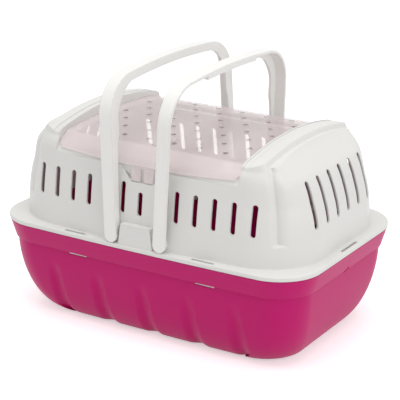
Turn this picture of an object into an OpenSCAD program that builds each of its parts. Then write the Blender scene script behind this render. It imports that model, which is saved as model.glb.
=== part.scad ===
// Plastic pet keeper: a deep moulded tub, a slotted top shell, a clear vented lid and two
// folding carry handles. Millimetres. Origin: centre of the footprint on the table.
// +X runs along the length, -Y is the front with the latch, +Z is up.

/* [Overall] */
// Length over the flange
flange_length = 400; // [380:1:440]
// Width over the flange at mid-length
flange_width = 255.8; // [250:1:270]
// Height of the parting line between the tub and the shell
part_z = 112; // [100:1:130]
// Height of the roof ridges above the parting line
ridge_z = 124; // [122:0.5:126]

/* [Tub] */
// Height of the tub's skirt
skirt_height = 21.9; // [18:0.5:26]
// How far the skirt tapers inward on the way down
skirt_taper = 6.6; // [4:0.2:9]
// Step inward under the skirt
skirt_step = 2.4; // [1.5:0.1:3]
// How far the bowl curves inward from the step to the flat bottom
bowl_inset = 42; // [30:1:46]
// Power of the bowl's curve
bowl_power = 1.9; // [1.6:0.1:2.4]
// Wall of the tub
tub_wall = 2.8; // [2.2:0.1:3.2]
// Plan corner radius of the tub at the parting line
tub_corner_r = 50; // [42:1:56]
// Plan corner radius of the tub at the bottom
tub_bottom_r = 42; // [36:1:46]
// Spacing of the flutes pressed into the long sides
flute_pitch = 59.5; // [52:0.5:62]
// Half-width of a flute at its foot
flute_half = 12; // [8:0.5:13]
// Depth of a flute at its foot
flute_depth = 4.5; // [2:0.25:5]
// Top of the flutes below the parting line
flute_top = 36; // [32:1:40]

/* [Flange] */
// Height of the flange's ledge
flange_height = 4.8; // [4:0.1:4.8]
// Edge rounding of the flange
flange_edge = 1.2; // [0.8:0.1:1.5]
// Plan corner radius of the flange
flange_corner_r = 50; // [42:1:56]
// Depth of the locating rim that drops into the tub
rim_depth = 5; // [4:0.5:7]
// Thickness of the locating rim
rim_wall = 2.2; // [1.8:0.1:2.5]

/* [Top shell] */
// Half-length of the shell's wall just above the flange
wall_half_length = 188; // [186:0.5:189]
// Width of the flange's ledge at mid-length
ledge_width = 8; // [7.9:0.1:9.5]
// Wall of the shell
shell_wall = 2.5; // [2:0.1:3]
// Sideways bow of the long walls, as a share of the half-width
wall_bow = 0.098; // [0.06:0.002:0.11]
// Depth of the step between the shell's middle and its ends
end_step = 8; // [6:0.25:9]
// Height at which that step starts
end_step_z = 29.5; // [24:0.5:36]
// Half-length of the roof ridges
ridge_half_length = 140; // [138:0.5:142]
// Drop from the ridges to the shoulders
shoulder_drop = 6; // [4:0.5:8]
// Width of a ventilation slot
slot_width = 6; // [5:0.25:7]
// Spacing of the slots in the long walls
front_slot_pitch = 22.84; // [21:0.1:23]
// Bottom of the slots in the long walls
front_slot_low = 37.9; // [34:0.5:42]
// Top of the slots in the long walls
front_slot_high = 72.5; // [60:0.5:72.5]
// Top of the short middle slot under the latch
middle_slot_high = 64; // [55:0.5:66]
// Spacing of the slots in the end walls
end_slot_pitch = 23.85; // [22:0.1:25]
// Bottom of the slots in the end walls
end_slot_low = 41.4; // [38:0.5:50]
// Top of the slots in the end walls
end_slot_high = 91.7; // [80:0.5:92]

/* [Lid] */
// Half-length of the lid
lid_half_length = 117; // [112:0.5:118]
// Wall of the lid
lid_wall = 2; // [1.6:0.1:2.4]
// Gap between the lid and the shell all round
lid_gap = 0.5; // [0.4:0.05:0.8]
// Width of the seat under the lid's ends
seat_width = 9; // [6:0.5:12]
// Width of the seat under the lid's back
seat_depth = 12.7; // [10.7:0.5:20.7]
// Width of the sill under the lid's front
sill_depth = 24.7; // [14.7:0.5:30.7]
// Thickness of the seat plate
seat_wall = 2.4; // [2:0.1:3]
// Diameter of the lid's vent holes
vent_diameter = 6; // [5:0.25:7]
// Spacing of the vent holes along the length
vent_pitch_x = 32.4; // [30:0.1:34]
// Spacing of the vent rows across the width
vent_pitch_y = 24.05; // [22:0.05:25]
// Width of the raised plate on the lid's front
plate_width = 30; // [24:0.5:30]
// Length of the raised plate across the lid
plate_length = 32; // [24:0.5:32]
// Height of the raised plate
plate_height = 1; // [0.6:0.1:1.5]
// Width of the latch tab
tab_width = 28.6; // [24:0.2:30]
// Bottom of the latch tab above the parting line
tab_low = 75; // [73.5:0.5:80]
// Width of the slit in the latch tab
tab_slit = 5; // [3:0.25:6]

/* [Lid hinge] */
// Distance of the hinge axis inside the lid's edge
hinge_inset = 4.2; // [3.7:0.1:4.7]
// Height of the hinge axis above the parting line
hinge_z = 93.5; // [93:0.1:94]
// Radius of the rolled bead along the lid's back edge
bead_r = 2.6; // [2.3:0.1:3]
// Radius of the lid's hinge pins
lid_pin_r = 1.95; // [1.6:0.05:2]
// Running gap around every pin, measured on the radius
pin_gap = 0.06; // [0.03:0.01:0.1]

/* [Handles] */
// Distance of each handle's pivot from mid-length
pivot_x = 31.5; // [31.5:0.1:34]
// Height of the pivots above the parting line
pivot_z = 13; // [13:0.1:14]
// Width of the handle's band
band_width = 15.4; // [13:0.1:15.4]
// Thickness of the handle's band and side plate
band_wall = 3; // [2.5:0.1:3.2]
// How far the handles stay inside the flange's edge
handle_inset = 0.3; // [0.1:0.1:0.4]
// How far each leg leans inward at the start of its top corner
leg_taper = 3.2; // [2:0.1:4]
// Height of a handle above its pivot, at mid-width
handle_rise = 177.2; // [177:0.1:182]
// Rise of the arched top bar between its corners and its middle
bar_arch = 3.7; // [1:0.1:4]
// Outer corner radius of a handle
handle_corner_r = 44; // [40:0.5:46]
// Depth of the top bar's side plate
bar_depth = 9.5; // [8:0.5:11]
// Half-length of the hand grip
grip_half = 51; // [38:1:53]
// Depth of the hand grip under the top bar
grip_depth = 7.4; // [6:0.2:8.4]
// Outward lean of the upright handles in degrees
rest_lean = 2.5; // [0:0.25:3]
// Radius of the handle's pivot pins
pivot_pin_r = 3; // [2.5:0.1:3.2]
// Radius of the pivot bosses on the shell
pivot_boss_r = 6; // [5:0.1:6]

/* [Hidden] */
$fn = 48;

tub_colour = [0.72, 0.22, 0.44];
shell_colour = [0.88, 0.88, 0.87];
lid_colour = [0.93, 0.88, 0.88, 0.5];
handle_colour = [0.86, 0.86, 0.84];

flange_hx = flange_length / 2;
flange_hy = flange_width / 2;
flange_bow = 0.03;
solid_gap = 0.3;
wall_half_width = flange_hy - ledge_width;
handle_half_width = flange_hy - handle_inset;
lid_edge_y = wall_half_width - 11.2;
hinge_y = lid_edge_y - hinge_inset;
opening_back_y = lid_edge_y - seat_depth;
opening_front_y = lid_edge_y - sill_depth;

// Ring lofts
// A ring is a rounded rectangle seen from above, listed counter-clockwise. Its long sides
// are sampled at named places so that a bow, a step or flutes can be pressed into them.
corner_steps = 6;

// Height across the ring's long side at x: the straight part, then the corner's arc
function side_y(x, hx, hy, r) =
  abs(x) <= hx - r ? hy : hy - r + sqrt(max(0, r * r - pow(abs(x) - hx + r, 2)));

// One quadrant's corner from the end side to just short of the last side sample at x_last
corner_clear = 2;
function corner_points(hx, hy, r, x_last) =
  let (stop = acos(max(0, min(1, (x_last + corner_clear - hx + r) / r))))
  [for (i = [0:corner_steps]) [hx - r + r * cos(stop * i / corner_steps),
                               hy - r + r * sin(stop * i / corner_steps)]];

function reversed(list) = [for (i = [len(list) - 1:-1:0]) list[i]];

// Full plan outline: from the right end round through +Y, -X and -Y
function plan_ring(hx, hy, r, xs) =
  let (quarter = corner_points(hx, hy, r, xs[0]),
       far_side = [for (x = xs) [x, side_y(x, hx, hy, r)]])
  concat(
    quarter,
    far_side,
    reversed([for (p = quarter) [-p[0], p[1]]]),
    [for (p = quarter) [-p[0], -p[1]]],
    reversed([for (p = far_side) [p[0], -p[1]]]),
    reversed([for (p = quarter) [p[0], -p[1]]]));

// Faces of a closed loft through rings of equal length, with flat caps at both ends
module loft(rings) {
  count = len(rings[0]);
  levels = len(rings);
  points = [for (ring = rings) for (p = ring) p];
  walls = [for (k = [0:levels - 2]) for (i = [0:count - 1])
    let (a = k * count + i, b = k * count + (i + 1) % count)
    each [[a, b, b + count], [a, b + count, a + count]]];
  first_cap = [for (i = [0:count - 1]) i];
  last_cap = [for (i = [count - 1:-1:0]) (levels - 1) * count + i];
  polyhedron(points = points, faces = concat([for (f = walls) reversed(f)], [first_cap, last_cap]));
}

// Tub
flute_places = [2, 1, 0, -1, -2];
flute_samples = [1, 0.55, 0, -0.55, -1];
flute_head_width = 0.72;
flute_head_depth = 0.6;
flute_start = 3;

// Flute half-width and depth at a depth d below the parting line
function flute_growth(d) = max(0, min(1, (d - flute_top) / (part_z - flute_top)));
function flute_w(d) = flute_half * (flute_head_width + (1 - flute_head_width) * flute_growth(d));
function flute_d(d) = flute_depth * min(1, flute_start * flute_growth(d))
  * (flute_head_depth + (1 - flute_head_depth) * flute_growth(d));

function tub_xs(d) = [for (f = flute_places) for (s = flute_samples)
  f * flute_pitch + s * flute_w(d)];

// The bowl's curve is cut short where it meets the flat bottom
bowl_overrun = 6;
bowl_share = 0.985;
skirt_edge = 0.6;

// Bowl inset at a depth d below the parting line
function bowl_t(d) = (d - skirt_height) / (part_z - skirt_height);
function bowl_in(d) = d <= skirt_height ? skirt_taper * d / skirt_height
  : skirt_taper + skirt_step + (bowl_inset - skirt_taper - skirt_step + bowl_overrun)
    * (1 - sqrt(max(0, 1 - pow(min(1, bowl_t(d)), bowl_power) * bowl_share)));

// Corner radius at a depth d: it follows the skirt's taper, then blends to the bottom's
function tub_round(d) =
  let (skirt_r = tub_corner_r - bowl_in(min(d, skirt_height + skirt_edge)))
  skirt_r + (tub_bottom_r - tub_corner_r + skirt_taper + skirt_step) * max(0, bowl_t(d));

// Press-in of a side sample: deepest in the middle of each flute
function flute_press(x, d) =
  let (rest = [for (f = flute_places) abs(x - f * flute_pitch) / flute_w(d)],
       nearest = min(rest))
  nearest >= 1 ? 0 : flute_d(d) * (1 - nearest * nearest);

// One tub ring at depth d, inset by the wall for the inside
function tub_ring(d, inset, z_shift, step_in) =
  let (grow = bowl_in(d) + step_in,
       hx = flange_hx - solid_gap - grow - inset,
       hy = flange_hy - solid_gap - grow - inset,
       r = tub_round(d) - inset,
       plan = plan_ring(hx, hy, r, tub_xs(d)))
  [for (p = plan)
    let (on_side = abs(p[0]) < 2 * flute_pitch + flute_w(d) + 0.01 && abs(p[1]) > hy / 2,
         press = on_side ? flute_press(p[0], d) : 0,
         bow = 1 - flange_bow * pow(p[0] / flange_hx, 2))
    [p[0], (p[1] - sign(p[1]) * press) * bow, part_z - d + z_shift]];

// Depths of the bowl's rings, and where its inner side ends above the floor
bowl_depths = [31, flute_top, 41, 49, 60, 72, 84, 95, 103, 108.5];
floor_wall = 4.4;
floor_edge = 2;
inner_bowl_end = 104;
inner_step_top = 3.4;
inner_step_foot = 2.4;
inner_step_in = 0.7;

module base_tub() {
  outer = concat(
    [tub_ring(part_z, 0, 0, 0)],
    [for (i = [len(bowl_depths) - 1:-1:0]) tub_ring(bowl_depths[i], 0, 0, 0)],
    [tub_ring(skirt_height + skirt_edge, 0, 0, 0), tub_ring(skirt_height, 0, 0, 0),
     tub_ring(0, 0, -solid_gap, 0)]);
  inner = concat(
    [tub_ring(0, tub_wall, -solid_gap, 0), tub_ring(skirt_height - inner_step_top, tub_wall, 0, 0),
     tub_ring(skirt_height - inner_step_foot, tub_wall, 0, skirt_step + inner_step_in),
     tub_ring(skirt_height + skirt_edge, tub_wall, 0, 0)],
    [for (d = bowl_depths) if (d < inner_bowl_end) tub_ring(d, tub_wall, 0, 0)],
    [tub_ring(part_z - floor_wall, tub_wall + floor_edge, 0, 0)]);
  color(tub_colour) {
    difference() {
      loft(concat(outer, inner));
      snap_slots();
    }
  }
}

// Places of the snaps, and the slots in the tub's step that the shell's hooks reach into
snap_x = 83.5;
snap_half = 13.5;
snap_end_half = 17.5;
slot_cut_height = 3;
slot_cut_half = 12.5;
slot_cut_reach = 22;
end_hole_half = 3.5;
end_hole_top = 19.5;
end_hole_height = 5.5;

// Inward bow of the flange at x
function bow_at(x) = flange_hy * flange_bow * pow(x / flange_hx, 2);

module snap_slots() {
  z = part_z - skirt_height - slot_cut_height;
  for (side = [0, 1]) mirror([0, side, 0])
    for (x = [-snap_x, snap_x])
      translate([x - slot_cut_half, flange_hy - slot_cut_reach, z])
        cube([2 * slot_cut_half, slot_cut_reach, slot_cut_height]);
  for (side = [0, 1]) mirror([side, 0, 0])
    translate([flange_hx - slot_cut_reach, -end_hole_half, part_z - end_hole_top - end_hole_height])
      cube([slot_cut_reach, 2 * end_hole_half, end_hole_height]);
}

// Top shell
// Levels of the wall: height, half-length, half-width, corner radius, bow, step place
shell_levels = [
  [flange_height, wall_half_length, wall_half_width, 62, wall_bow, 158],
  [22, wall_half_length, wall_half_width - 1.3, 62, wall_bow, 157],
  [end_step_z - 0.6, wall_half_length - 0.4, wall_half_width - 2, 62, wall_bow, 156],
  [end_step_z + 0.6, wall_half_length - 0.5, wall_half_width - 2.1, 62, wall_bow, 156],
  [41, wall_half_length - 1, wall_half_width - 3.2, 62, wall_bow, 154.5],
  [54, wall_half_length - 3, wall_half_width - 4.8, 61, wall_bow, 153],
  [66, wall_half_length - 6.3, wall_half_width - 6.5, 60, wall_bow, 151],
  [80, wall_half_length - 11, wall_half_width - 9.2, 56, 0.07, 149],
  [92, wall_half_length - 17, wall_half_width - 11.7, 50, 0.045, 147],
  [101, wall_half_length - 26, wall_half_width - 15, 42, 0.03, 144],
  [106.5, wall_half_length - 32, wall_half_width - 18.5, 34, 0.03, 142],
  [112, wall_half_length - 38, wall_half_width - 19, 28, 0.03, 139],
  [118, wall_half_length - 43, wall_half_width - 19, 24, 0.03, 137],
  [130, wall_half_length - 49, wall_half_width - 19, 20, 0.03, 134]
];

// Side samples at a level: the step's two edges, then places along the middle
riser_run = 1.5;
side_shares = [1, 0.72, 0.4, 0, -0.4, -0.72, -1];
function shell_xs(step_x) = concat([step_x + riser_run], [for (share = side_shares) share * step_x],
                                   [-step_x - riser_run]);

// Past the step the walls keep to a flat floor, until it runs out into the rounded corner
function shell_ring(level, inset, drop) =
  let (z = level[0],
       hx = level[1] - inset,
       hy = level[2] - inset,
       r = level[3] - inset,
       step_x = level[5] - inset,
       floor_y = side_y(step_x, hx, hy, r) * (1 - level[4] * pow(step_x / hx, 2)) - end_step,
       plan = plan_ring(hx, hy, r, shell_xs(step_x)))
  [for (p = plan)
    let (full_y = abs(p[1]) * (1 - level[4] * pow(p[0] / hx, 2)),
         stepped = z > end_step_z && abs(p[0]) > step_x + 0.01)
    [p[0], sign(p[1]) * (stepped ? min(full_y, floor_y) : full_y), z - drop]];

flange_step_x = 145;

function flange_ring(z, inset) =
  let (hx = flange_hx - inset,
       hy = flange_hy - inset,
       plan = plan_ring(hx, hy, flange_corner_r - inset, shell_xs(flange_step_x)))
  [for (p = plan) [p[0], p[1] * (1 - flange_bow * pow(p[0] / flange_hx, 2)), z]];

rim_clearance = 0.5;
rim_taper = 1.5;
rim_out = tub_wall + solid_gap + rim_clearance;

// Outside of the wall from the rim up to a flat top above the roof
module wall_outside() {
  translate([0, 0, part_z]) loft(concat(
    [flange_ring(-rim_depth, rim_out + rim_taper), flange_ring(0, rim_out),
     flange_ring(0, 0), flange_ring(flange_height - flange_edge, 0),
     flange_ring(flange_height, flange_edge)],
    [for (level = shell_levels) shell_ring(level, 0, 0)]));
}

// Hollow of the wall: inside the rim, then under the ledge and up the inside of the wall
module wall_inside() {
  low = shell_levels[0];
  translate([0, 0, part_z]) loft(concat(
    [flange_ring(-rim_depth - 1, rim_out + rim_taper + solid_gap + rim_wall),
     flange_ring(0, rim_out + rim_wall),
     shell_ring([0, low[1], low[2], low[3], low[4], low[5]], shell_wall, 0)],
    [for (k = [1:len(shell_levels) - 1])
      let (at_shelf = abs(shell_levels[k][0] - end_step_z) < 1)
      shell_ring(shell_levels[k], shell_wall, at_shelf ? shell_wall : 0)]));
}

// Roof profile across the width: the ridge's arch, its front corner and the upper wall
roof_corner_y = lid_edge_y - 14.7;
roof_profile = [[0, 0], [roof_corner_y * 0.27, -0.8], [roof_corner_y * 0.53, -3.1],
  [roof_corner_y * 0.85, -8], [roof_corner_y, -11.2], [roof_corner_y + 6, -15.5],
  [roof_corner_y + 11.5, -24], [roof_corner_y + 15.6, -34], [roof_corner_y + 56, -100],
  [roof_corner_y + 56, -140]];

function mirrored_profile(half) =
  concat(half, [for (i = [len(half) - 1:-1:0]) if (half[i][0] > 0) [-half[i][0], half[i][1]]]);

// Prism along X under a half profile given from the middle outwards
module profile_prism(half, top, half_length) {
  rotate([90, 0, 90]) translate([0, 0, -half_length]) linear_extrude(2 * half_length)
    polygon([for (p = mirrored_profile(half)) [p[0], top + p[1]]]);
}

roof_reach = 210;

// Roof over the ridges, with the lower shoulders past them
module roof_solid(inset) {
  profile_prism(roof_profile, part_z + ridge_z - inset, ridge_half_length - inset);
  profile_prism(roof_profile, part_z + ridge_z - shoulder_drop - inset, roof_reach);
}

// Points moved square to a path by a distance, outwards when it is positive
function path_normal(a, b) = let (d = b - a) [-d[1], d[0]] / norm(d);
function offset_path(path, d) = [for (i = [0:len(path) - 1])
  let (before = i == 0 ? path_normal(path[0], path[1]) : path_normal(path[i - 1], path[i]),
       after = i == len(path) - 1 ? before : path_normal(path[i], path[i + 1]),
       together = before + after)
  path[i] + together * d / (1 + before * after)];

// The lid's outer face from the middle of the roof down to its front edge
lid_top_z = 114;
lid_edge_z = 91;
lid_shoulder_y = lid_edge_y - 24.7;
lid_top_path = [[0, lid_top_z], [lid_shoulder_y / 2, lid_top_z - 1], [lid_shoulder_y, lid_top_z - 4],
  [lid_shoulder_y + 12, 103.6]];
lid_path = concat(lid_top_path, [[lid_edge_y - 4.7, 97.6], [lid_edge_y, lid_edge_z]]);
lid_back_path = concat(lid_top_path, [[hinge_y - 1.5, 97.6], [hinge_y + 0.9, hinge_z + 2.1]]);

function towards_front(path) = [for (p = path) [-p[0], p[1]]];

// Solid along X between an outer path and the same path moved inward
module path_prism(front, back, depth_in, lift, half_length) {
  outer = concat(reversed(towards_front(offset_path(front, lift))),
                 [for (i = [1:len(back) - 1]) offset_path(back, lift)[i]]);
  inner = concat(reversed(towards_front(offset_path(front, -depth_in))),
                 [for (i = [1:len(back) - 1]) offset_path(back, -depth_in)[i]]);
  translate([0, 0, part_z]) rotate([90, 0, 90]) translate([0, 0, -half_length])
    linear_extrude(2 * half_length) polygon(concat(outer, reversed(inner)));
}

recess_half_length = lid_half_length + lid_gap;
seat_clearance = 0.3;
room_half_width = 130;
room_top = 140;
seat_foot_z = 84;
seat_front_drop = 6;
bead_clear_y = 0.6;
bead_clear_z = 0.4;
opening_low_z = 80;

// Everything above the seat: the room for the lid
module lid_room() {
  seat = offset_path(lid_path, -(lid_wall + seat_clearance));
  front = reversed(towards_front(seat));
  edge = front[0];
  back_seat = offset_path(lid_back_path, -(lid_wall + seat_clearance));
  back = [for (i = [1:len(back_seat) - 2]) back_seat[i]];
  back_edge = [hinge_y - bead_r - bead_clear_y, hinge_z - bead_r - bead_clear_z];
  outline = concat([[-room_half_width, edge[1] - lid_gap], [edge[0], edge[1] - lid_gap]], front, back,
                   [back_edge, [room_half_width, back_edge[1]], [room_half_width, room_top],
                    [-room_half_width, room_top]]);
  translate([0, 0, part_z]) rotate([90, 0, 90])
    translate([0, 0, -recess_half_length]) linear_extrude(2 * recess_half_length)
      polygon(outline);
}

// Block that leaves the seat plate and the recess's end walls once the room is cut
module seat_block() {
  low = lid_wall + seat_clearance + seat_wall;
  half = recess_half_length + shell_wall;
  seat = offset_path(lid_path, -low);
  front = reversed(towards_front(seat));
  back = [for (i = [1:len(seat) - 1]) seat[i]];
  foot_z = front[0][1] - seat_front_drop;
  outline = concat([[-room_half_width, foot_z], [front[0][0], foot_z]], front, back,
                   [[back[len(back) - 1][0], seat_foot_z], [room_half_width, seat_foot_z],
                    [room_half_width, room_top], [-room_half_width, room_top]]);
  intersection() {
    translate([0, 0, part_z]) rotate([90, 0, 90]) translate([0, 0, -half])
      linear_extrude(2 * half) polygon(outline);
    wall_outside();
    roof_solid(0);
  }
}

module lid_opening() {
  translate([-lid_half_length + seat_width, -opening_front_y, part_z + opening_low_z])
    cube([2 * (lid_half_length - seat_width), opening_front_y + opening_back_y, room_top - opening_low_z]);
}

// Share of a slot's width that its straight part takes between the round ends
slot_straight = 0.985;

// Straight-sided slot with round ends, drawn upright and cut along +Y
module slot_cutter(low, high, depth) {
  r = slot_width / 2;
  rotate([-90, 0, 0]) {
    translate([0, -low - r, 0]) cylinder(r = r, h = depth);
    translate([0, -high + r, 0]) cylinder(r = r, h = depth);
    translate([-r * slot_straight, -high + r, 0])
      cube([2 * r * slot_straight, high - low - 2 * r, depth]);
  }
}

front_slots = [-6, -5, -4, -3, -2, -1, 0, 1, 2, 3, 4, 5, 6];
end_slots = [-2.5, -1.5, -0.5, 0.5, 1.5, 2.5];
slot_depth = 40;
slot_clear = 6;
end_slot_reach = 30;

module vent_slots() {
  for (n = front_slots)
    translate([n * front_slot_pitch, -wall_half_width - slot_clear, part_z])
      slot_cutter(front_slot_low, n == 0 ? middle_slot_high : front_slot_high, slot_depth);
  for (n = front_slots)
    translate([n * front_slot_pitch, wall_half_width + slot_clear - slot_depth, part_z])
      slot_cutter(front_slot_low, front_slot_high, slot_depth);
  for (turn = [0, 180]) rotate([0, 0, turn])
    for (n = end_slots)
      translate([wall_half_length - end_slot_reach, n * end_slot_pitch, part_z]) rotate([0, 0, -90])
        slot_cutter(end_slot_low, end_slot_high, slot_depth);
}

// Windows in the flange's ledge over the snaps
window_inset = 7.4;
window_width = 3.2;
window_low = 1;

module window(half) {
  translate([-half - solid_gap, 0, part_z - window_low])
    cube([2 * (half + solid_gap), window_width, window_low + flange_height + 1]);
}

module flange_windows() {
  for (side = [0, 1]) mirror([0, side, 0])
    for (x = [-snap_x, snap_x])
      translate([x, flange_hy - window_inset - bow_at(x), 0]) window(snap_half);
  for (side = [0, 1]) mirror([side, 0, 0])
    translate([flange_hx - window_inset, 0, 0]) rotate([0, 0, -90]) window(snap_end_half);
}

// Hook outline: how far it lies inside the flange's edge, and its height from the parting line
hook_root = 1;
hook_root_out = 8;
hook_root_in = 10.4;
hook_bend_z = -4;
hook_run_z = -8;
hook_out = 12.8;
hook_in = 15;
hook_lip_out = 9.9;
hook_lip_top = -(skirt_height + solid_gap);
hook_lip_low = -(skirt_height + slot_cut_height - solid_gap);
hook_half = slot_cut_half - solid_gap;

module snap_hooks() {
  outline = [[hook_root_out, hook_root], [hook_root_out, hook_bend_z], [hook_out, hook_run_z],
             [hook_out, hook_lip_top], [hook_lip_out, hook_lip_top], [hook_lip_out, hook_lip_low],
             [hook_in, hook_lip_low], [hook_in, hook_run_z], [hook_root_in, hook_bend_z],
             [hook_root_in, hook_root]];
  for (side = [0, 1]) mirror([0, side, 0])
    for (x = [-snap_x, snap_x])
      translate([x - hook_half, flange_hy - bow_at(x), part_z]) rotate([90, 0, 90])
        linear_extrude(2 * hook_half) polygon([for (p = outline) [-p[0], p[1]]]);
}

// Hollow block between a handle pair's legs: half-widths at its foot and top
block_foot = 22.4;
block_head = 19;
block_low = 4;
block_high = 28.5;
block_face = flange_hy - 1.9;
block_back = wall_half_width - 7.9;
block_hollow_reach = 8;

module mount_block(inset) {
  behind = inset > 0 ? block_hollow_reach : 0;
  rotate([90, 0, 0]) translate([0, part_z, block_back - behind])
    linear_extrude(block_face - block_back - inset + behind)
      polygon([[-block_foot + inset, block_low + inset], [block_foot - inset, block_low + inset],
               [block_head - inset, block_high - inset], [-block_head + inset, block_high - inset]]);
}

boss_face = handle_half_width - band_wall - 0.5;
boss_back = block_back;
bore_back = 6;

module pivot_bosses() {
  for (x = [-pivot_x, pivot_x])
    translate([x, -boss_back, part_z + pivot_z]) rotate([90, 0, 0])
      cylinder(r = pivot_boss_r, h = boss_face - boss_back);
}

module pivot_bores() {
  for (x = [-pivot_x, pivot_x])
    translate([x, -boss_back + bore_back, part_z + pivot_z]) rotate([90, 0, 0])
      cylinder(r = pivot_pin_r + pin_gap, h = boss_face - boss_back + 2 * bore_back);
}

// Recess under the lid's front edge that the latch tab lies in, and the wall behind it
pocket_half = 27;
pocket_foot_half = 13.6;
pocket_low = 73.6;
pocket_high = 92;
pocket_depth = 3;
pocket_side_z = 86;
pocket_reach = 30;
backing_edge = 2;
backing_foot = 2.5;
shelf_wall = 2.3;
shelf_reach = 4;
tab_lean = 2.9;
tab_face = [[lid_edge_y, lid_edge_z], [lid_edge_y + tab_lean, tab_low]];

module latch_pocket() {
  floor_y = tab_face[1][0] - pocket_depth;
  rotate([90, 0, 0]) translate([0, part_z, floor_y - backing_edge])
    linear_extrude(pocket_reach)
      polygon([[-pocket_foot_half, pocket_low], [pocket_foot_half, pocket_low],
               [pocket_half, pocket_side_z], [pocket_half, pocket_high],
               [-pocket_half, pocket_high], [-pocket_half, pocket_side_z]]);
}

module latch_backing() {
  face_y = tab_face[1][0] - pocket_depth - backing_edge;
  half = pocket_half + backing_edge;
  foot_z = part_z + pocket_low - backing_foot;
  translate([-half, -face_y, foot_z])
    cube([2 * half, shell_wall, pocket_high - pocket_low + backing_edge]);
  translate([-half, -face_y - shelf_reach, foot_z])
    cube([2 * half, shelf_reach + backing_edge, shelf_wall]);
}

// Ears round the lid's hinge pins
ear_r = 4.4;
ear_length = 5.5;
ear_gap = 0.05;
hinge_bore_reach = 127;

module hinge_ears() {
  for (side = [0, 1]) mirror([side, 0, 0])
    translate([recess_half_length + ear_gap, hinge_y, part_z + hinge_z]) rotate([0, 90, 0])
      cylinder(r = ear_r, h = ear_length);
}

module hinge_bores() {
  translate([-hinge_bore_reach, hinge_y, part_z + hinge_z]) rotate([0, 90, 0])
    cylinder(r = lid_pin_r + pin_gap, h = 2 * hinge_bore_reach);
}

module top_shell() {
  color(shell_colour) difference() {
    union() {
      difference() {
        intersection() {
          wall_outside();
          roof_solid(0);
        }
        intersection() {
          wall_inside();
          roof_solid(shell_wall);
        }
      }
      seat_block();
      latch_backing();
      for (side = [0, 1]) mirror([0, side, 0]) {
        mount_block(0);
        pivot_bosses();
      }
      hinge_ears();
      snap_hooks();
    }
    lid_room();
    lid_opening();
    latch_pocket();
    vent_slots();
    flange_windows();
    for (side = [0, 1]) mirror([0, side, 0]) {
      mount_block(shell_wall);
      pivot_bores();
    }
    hinge_bores();
  }
}

// Lid
vent_rows = [-3, -2, -1, 0, 1, 2, 3];
lid_corner_size = 12;
plate_y = -(lid_edge_y - 37.7);

lid_cut_low = 60;

module lid_plan() {
  translate([0, 0, part_z + lid_cut_low]) linear_extrude(room_top - lid_cut_low) difference() {
    square([2 * lid_half_length, 2 * room_half_width], center = true);
    for (side = [-1, 1])
      translate([side * lid_half_length, -lid_edge_y]) rotate([0, 0, 45])
        square(lid_corner_size, center = true);
  }
}

// The front edge hangs lower in the middle than at its corners
edge_rise = 5;
edge_trim = 0.4;
edge_samples = [1, 0.75, 0.5, 0.25, 0];
edge_cut_end = 5;
edge_cut_low = 70;
edge_cut_back = 80;

module front_edge_trim() {
  rise = [for (s = edge_samples) [s * lid_half_length, lid_edge_z + edge_rise * s * s - edge_trim]];
  end_x = lid_half_length + edge_cut_end;
  rotate([90, 0, 0]) translate([0, part_z, edge_cut_back]) linear_extrude(room_half_width - edge_cut_back)
    polygon(concat([[end_x, edge_cut_low], [end_x, rise[0][1]]], rise,
                   reversed([for (p = rise) if (p[0] > 0) [-p[0], p[1]]]),
                   [[-end_x, rise[0][1]], [-end_x, edge_cut_low]]));
}

// The tab's root overlaps the lid's front by this much
tab_root = 1.6;
tab_root_in = 0.6;

module latch_tab() {
  face = tab_face;
  translate([0, 0, part_z]) rotate([90, 0, 90]) translate([0, 0, -tab_width / 2])
    linear_extrude(tab_width)
      polygon([[-face[0][0] + tab_root_in, face[0][1] + tab_root], [-face[0][0], face[0][1]],
               [-face[1][0], tab_low], [-face[1][0] + lid_wall, tab_low],
               [-face[0][0] + lid_wall, face[0][1] - 1],
               [-face[0][0] + lid_wall + tab_root_in, face[0][1] + tab_root]]);
}

plate_low_z = 100;
vent_low_z = 100;
vent_reach = 20;
lid_end_margin = 20;
lid_pin_length = 5;
slit_top_z = lid_edge_z - 2;
slit_reach = 40;

module front_plate() {
  half_w = plate_width / 2;
  half_l = plate_length / 2;
  translate([0, plate_y, part_z + plate_low_z]) linear_extrude(lid_top_z - plate_low_z + plate_height)
    polygon([[-half_w, -half_l / 2], [0, -half_l], [half_w, -half_l / 2],
             [half_w, half_l / 2], [0, half_l], [-half_w, half_l / 2]]);
}

module lid() {
  color(lid_colour) {
    difference() {
      union() {
        difference() {
          intersection() {
            path_prism(lid_path, lid_back_path, lid_wall, 0, lid_half_length);
            lid_plan();
          }
          front_edge_trim();
        }
        latch_tab();
        intersection() {
          front_plate();
          path_prism(lid_path, lid_back_path, lid_wall / 2, plate_height, lid_half_length - lid_end_margin);
        }
        translate([-lid_half_length, hinge_y, part_z + hinge_z]) rotate([0, 90, 0])
          cylinder(r = bead_r, h = 2 * lid_half_length);
        translate([-lid_half_length - lid_pin_length, hinge_y, part_z + hinge_z]) rotate([0, 90, 0])
          cylinder(r = lid_pin_r, h = 2 * (lid_half_length + lid_pin_length));
      }
      translate([-tab_slit / 2, -room_half_width, part_z + lid_cut_low])
        cube([tab_slit, slit_reach, slit_top_z - lid_cut_low]);
      for (row = vent_rows)
        for (column = row % 2 == 0 ? [-3:3] : [-2.5:2.5])
          translate([column * vent_pitch_x, row * vent_pitch_y, part_z + vent_low_z])
            cylinder(d = vent_diameter, h = vent_reach);
    }
  }
}

// Handles
// Half outline of a handle in its own frame: Y outward, Z up from the pivot
bar_end_z = handle_rise - bar_arch;
corner_y = handle_half_width - leg_taper - handle_corner_r;
corner_z = bar_end_z - handle_corner_r;
arc_steps = 9;
arch_share = 0.25;

function arc_half(r) = [for (i = [0:arc_steps])
  [corner_y + r * cos(90 * i / arc_steps), corner_z + r * sin(90 * i / arc_steps)]];

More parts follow.
